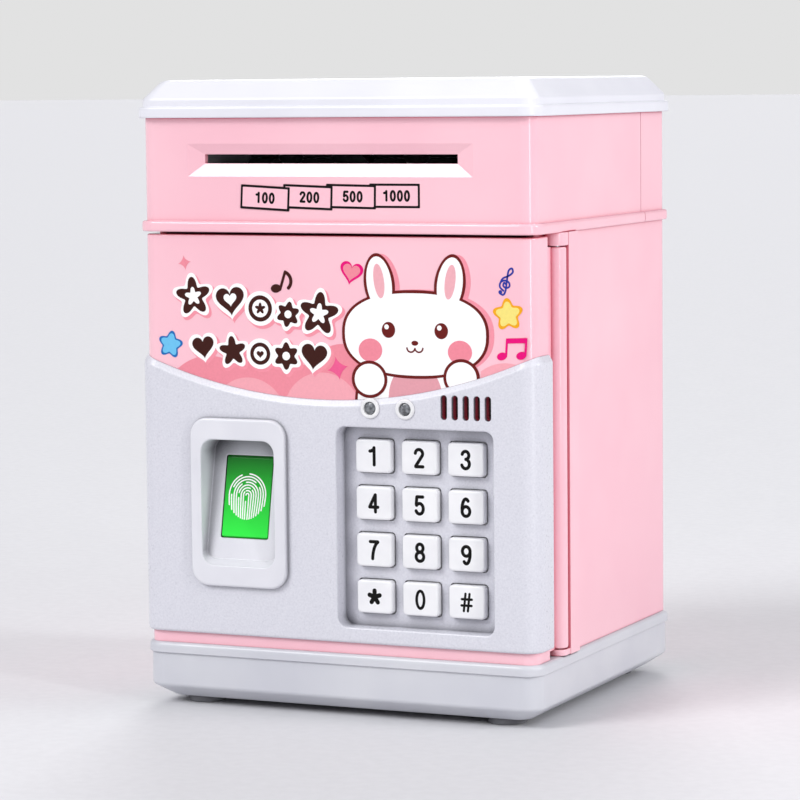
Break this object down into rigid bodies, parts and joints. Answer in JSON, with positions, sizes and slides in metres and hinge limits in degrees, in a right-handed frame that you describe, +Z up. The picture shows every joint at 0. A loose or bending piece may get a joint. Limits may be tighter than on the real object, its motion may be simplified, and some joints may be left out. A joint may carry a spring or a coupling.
{
  "type": "safe coin bank",
  "caption": "Toy safe money box with a hinged keypad door, fingerprint push window, motor note feed behind a front slot, coin slot in the cap and a battery base.",
  "frame": {"origin": "on the ground under the middle of the bank's whole width and depth", "axes": "+Z up, front and door towards -Y, door hinge on +X"},
  "size_m": [0.134, 0.1204, 0.1935],
  "materials": {
    "pink_shell": "moulded, satin gloss",
    "grey_panel": "fine-textured, matte",
    "grey_base": "fine-textured, satin",
    "pale_cap": "moulded, satin gloss",
    "inner_pink": "moulded, matte",
    "white_plastic": "moulded, matte",
    "key_plastic": "moulded, printed",
    "green_window": "translucent, lit from below",
    "lamp_clip": "moulded, gloss",
    "rubber": "moulded, matte",
    "mat_rubber": "silicone, matte",
    "steel": "zinc plated",
    "brass": "plain",
    "gear_plastic": "acetal, natural",
    "board": "solder mask",
    "black_plastic": "moulded, matte",
    "cell_wrap": "printed film wrap"
  },
  "bodies": {
    "housing": {"base_tray": "grey_base", "feet": "rubber", "battery_cover": "grey_base", "battery_cover_screw": "steel", "aa_cells": "cell_wrap", "battery_contacts": "brass", "base_screws": "steel", "body_shell": "pink_shell", "strike_plate": "steel", "hinge_pins": "steel", "hood_deck": "inner_pink", "hood_shell": "pink_shell", "hood_rear": "pink_shell", "hood_screws": "steel", "top_cap": "pale_cap", "coin_chute": "white_plastic", "feed_frame": "white_plastic", "note_motor": "steel", "note_guide": "white_plastic", "note_switch": "black_plastic"},
    "door": {"door_shell": "pink_shell", "control_panel": "grey_panel", "fingerprint_bezel": "grey_panel", "door_liner": "inner_pink", "liner_screws": "steel", "keypad_mat": "mat_rubber", "keypad_board": "board", "status_leds": "lamp_clip", "speaker": "black_plastic", "window_board": "board", "lock_motor": "steel", "latch_cover": "inner_pink"},
    "drive_roller": {"drive_shaft": "steel", "drive_gear": "gear_plastic", "drive_rings": "rubber"},
    "pinch_roller": {"pinch_shaft": "steel", "pinch_rings": "rubber"},
    "idler": {"idler_gear": "gear_plastic"},
    "pinion": {"motor_pinion": "brass"},
    "lever": {"switch_lever": "steel"},
    "latch": {"latch_bolt": "steel"},
    "lock_gear": {"lock_pinion": "gear_plastic"},
    "window": {"fingerprint_window": "green_window"},
    "button_1": {"key_1": "key_plastic"},
    "button_2": {"key_2": "key_plastic"},
    "button_3": {"key_3": "key_plastic"},
    "button_4": {"key_4": "key_plastic"},
    "button_5": {"key_5": "key_plastic"},
    "button_6": {"key_6": "key_plastic"},
    "button_7": {"key_7": "key_plastic"},
    "button_8": {"key_8": "key_plastic"},
    "button_9": {"key_9": "key_plastic"},
    "button_star": {"key_star": "key_plastic"},
    "button_0": {"key_0": "key_plastic"},
    "button_hash": {"key_hash": "key_plastic"}
  },
  "joints": [
    {"name": "door_hinge", "type": "hinge", "parent": "housing", "child": "door", "pos_m": [0.0639, -0.036, 0.08], "axis": [0, 0, 1], "range_deg": [0, 110]},
    {"name": "roller_spin", "type": "hinge", "parent": "housing", "child": "drive_roller", "pos_m": [0, -0.0415, 0.1632], "axis": [1, 0, 0], "continuous": true},
    {"name": "pinch_spin", "type": "hinge", "parent": "housing", "child": "pinch_roller", "pos_m": [0, -0.0415, 0.1742], "axis": [1, 0, 0], "continuous": true},
    {"name": "idler_spin", "type": "hinge", "parent": "housing", "child": "idler", "pos_m": [-0.053, -0.02662, 0.15921], "axis": [1, 0, 0], "continuous": true},
    {"name": "pinion_spin", "type": "hinge", "parent": "housing", "child": "pinion", "pos_m": [-0.053, -0.01542, 0.15921], "axis": [1, 0, 0], "continuous": true},
    {"name": "lever_tilt", "type": "hinge", "parent": "housing", "child": "lever", "pos_m": [0, -0.0235, 0.1653], "axis": [1, 0, 0], "range_deg": [0, 15], "stiffness_Nm_per_rad": 0.01},
    {"name": "latch_slide", "type": "slide", "parent": "door", "child": "latch", "axis": [-1, 0, 0], "range_m": [0, 0.0036]},
    {"name": "lock_gear_turn", "type": "hinge", "parent": "door", "child": "lock_gear", "pos_m": [-0.04, -0.0456, 0.11], "axis": [0, 0, 1], "range_deg": [0, 58]},
    {"name": "window_press", "type": "slide", "parent": "door", "child": "window", "axis": [0, 0.9799, -0.1994], "range_m": [0, 0.0008], "stiffness_N_per_m": 800},
    {"name": "press_1", "type": "slide", "parent": "door", "child": "button_1", "axis": [0, 1, 0], "range_m": [0, 0.0012], "stiffness_N_per_m": 600},
    {"name": "press_2", "type": "slide", "parent": "door", "child": "button_2", "axis": [0, 1, 0], "range_m": [0, 0.0012], "stiffness_N_per_m": 600},
    {"name": "press_3", "type": "slide", "parent": "door", "child": "button_3", "axis": [0, 1, 0], "range_m": [0, 0.0012], "stiffness_N_per_m": 600},
    {"name": "press_4", "type": "slide", "parent": "door", "child": "button_4", "axis": [0, 1, 0], "range_m": [0, 0.0012], "stiffness_N_per_m": 600},
    {"name": "press_5", "type": "slide", "parent": "door", "child": "button_5", "axis": [0, 1, 0], "range_m": [0, 0.0012], "stiffness_N_per_m": 600},
    {"name": "press_6", "type": "slide", "parent": "door", "child": "button_6", "axis": [0, 1, 0], "range_m": [0, 0.0012], "stiffness_N_per_m": 600},
    {"name": "press_7", "type": "slide", "parent": "door", "child": "button_7", "axis": [0, 1, 0], "range_m": [0, 0.0012], "stiffness_N_per_m": 600},
    {"name": "press_8", "type": "slide", "parent": "door", "child": "button_8", "axis": [0, 1, 0], "range_m": [0, 0.0012], "stiffness_N_per_m": 600},
    {"name": "press_9", "type": "slide", "parent": "door", "child": "button_9", "axis": [0, 1, 0], "range_m": [0, 0.0012], "stiffness_N_per_m": 600},
    {"name": "press_star", "type": "slide", "parent": "door", "child": "button_star", "axis": [0, 1, 0], "range_m": [0, 0.0012], "stiffness_N_per_m": 600},
    {"name": "press_0", "type": "slide", "parent": "door", "child": "button_0", "axis": [0, 1, 0], "range_m": [0, 0.0012], "stiffness_N_per_m": 600},
    {"name": "press_hash", "type": "slide", "parent": "door", "child": "button_hash", "axis": [0, 1, 0], "range_m": [0, 0.0012], "stiffness_N_per_m": 600}
  ],
  "couplings": [
    {"joint": "pinch_spin", "follows": "roller_spin", "ratio": -1.3864},
    {"joint": "idler_spin", "follows": "roller_spin", "ratio": -1.2},
    {"joint": "pinion_spin", "follows": "roller_spin", "ratio": 2},
    {"joint": "lock_gear_turn", "follows": "latch_slide", "rad_per_m": 277.78}
  ]
}
